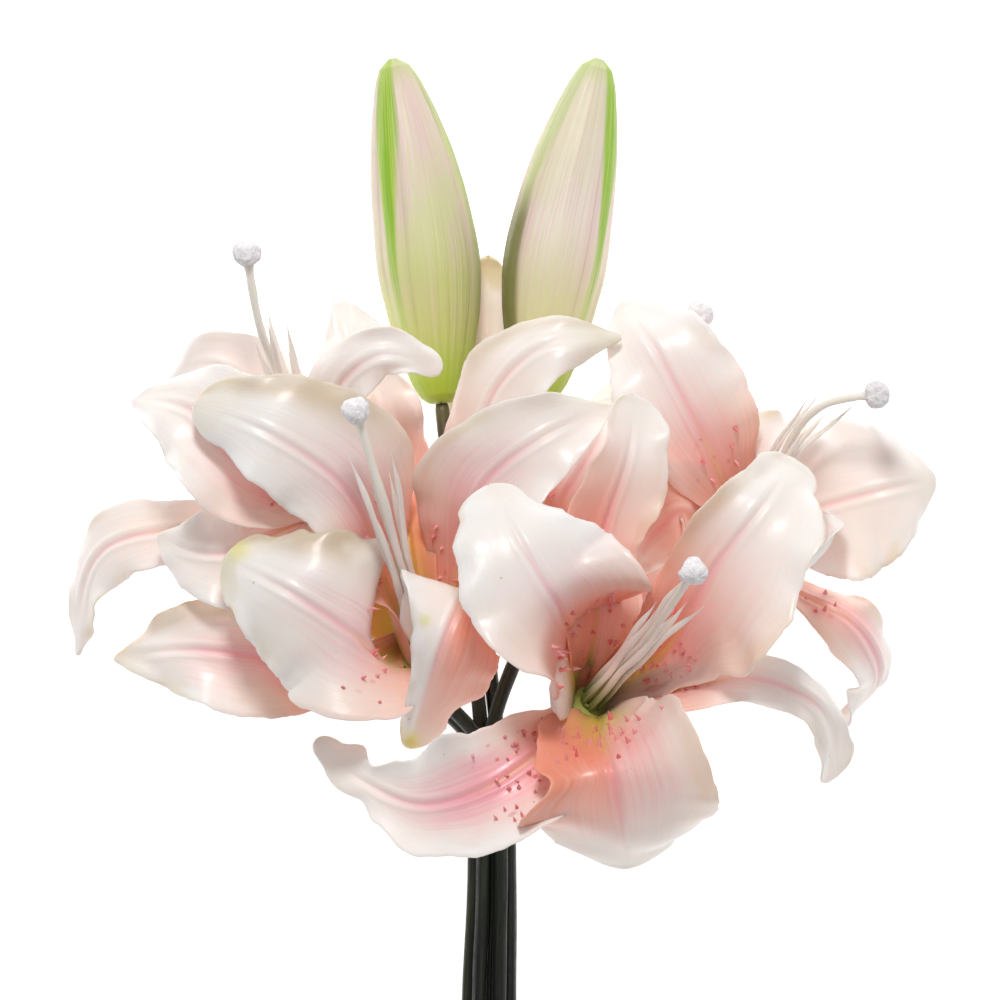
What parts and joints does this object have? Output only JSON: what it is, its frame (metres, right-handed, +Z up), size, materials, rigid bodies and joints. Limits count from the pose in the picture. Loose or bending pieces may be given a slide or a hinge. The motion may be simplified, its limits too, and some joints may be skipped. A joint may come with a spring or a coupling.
{
  "type": "cut lily",
  "caption": "Gathered bunch of cut lilies lying on its back: open blooms with pistils and filaments, closed buds and green stems held by a clear strap.",
  "frame": {"origin": "on the table, under the middle of the bunch's outline", "axes": "+X across the bunch, +Y from the cut stem ends to the bud tips, +Z up from the table, right-handed"},
  "size_m": [0.2618, 0.3776, 0.1376],
  "materials": {
    "petal": "satin",
    "pistil": "matt",
    "stamen": "satin",
    "bud": "satin",
    "stem": "satin",
    "strap": "clear gloss"
  },
  "bodies": {
    "root": {"front_right_petals": "petal", "front_right_pistil": "pistil", "front_right_stamens": "stamen", "front_left_petals": "petal", "front_left_pistil": "pistil", "front_left_stamens": "stamen", "back_left_petals": "petal", "back_left_pistil": "pistil", "back_left_stamens": "stamen", "right_petals": "petal", "right_pistil": "pistil", "right_stamens": "stamen", "back_petals": "petal", "back_pistil": "pistil", "back_stamens": "stamen", "left_bud": "bud", "right_bud": "bud", "front_right_stem": "stem", "front_left_stem": "stem", "back_left_stem": "stem", "right_stem": "stem", "back_stem": "stem", "bud_left_stem": "stem", "bud_right_stem": "stem", "strap": "strap"}
  },
  "joints": []
}
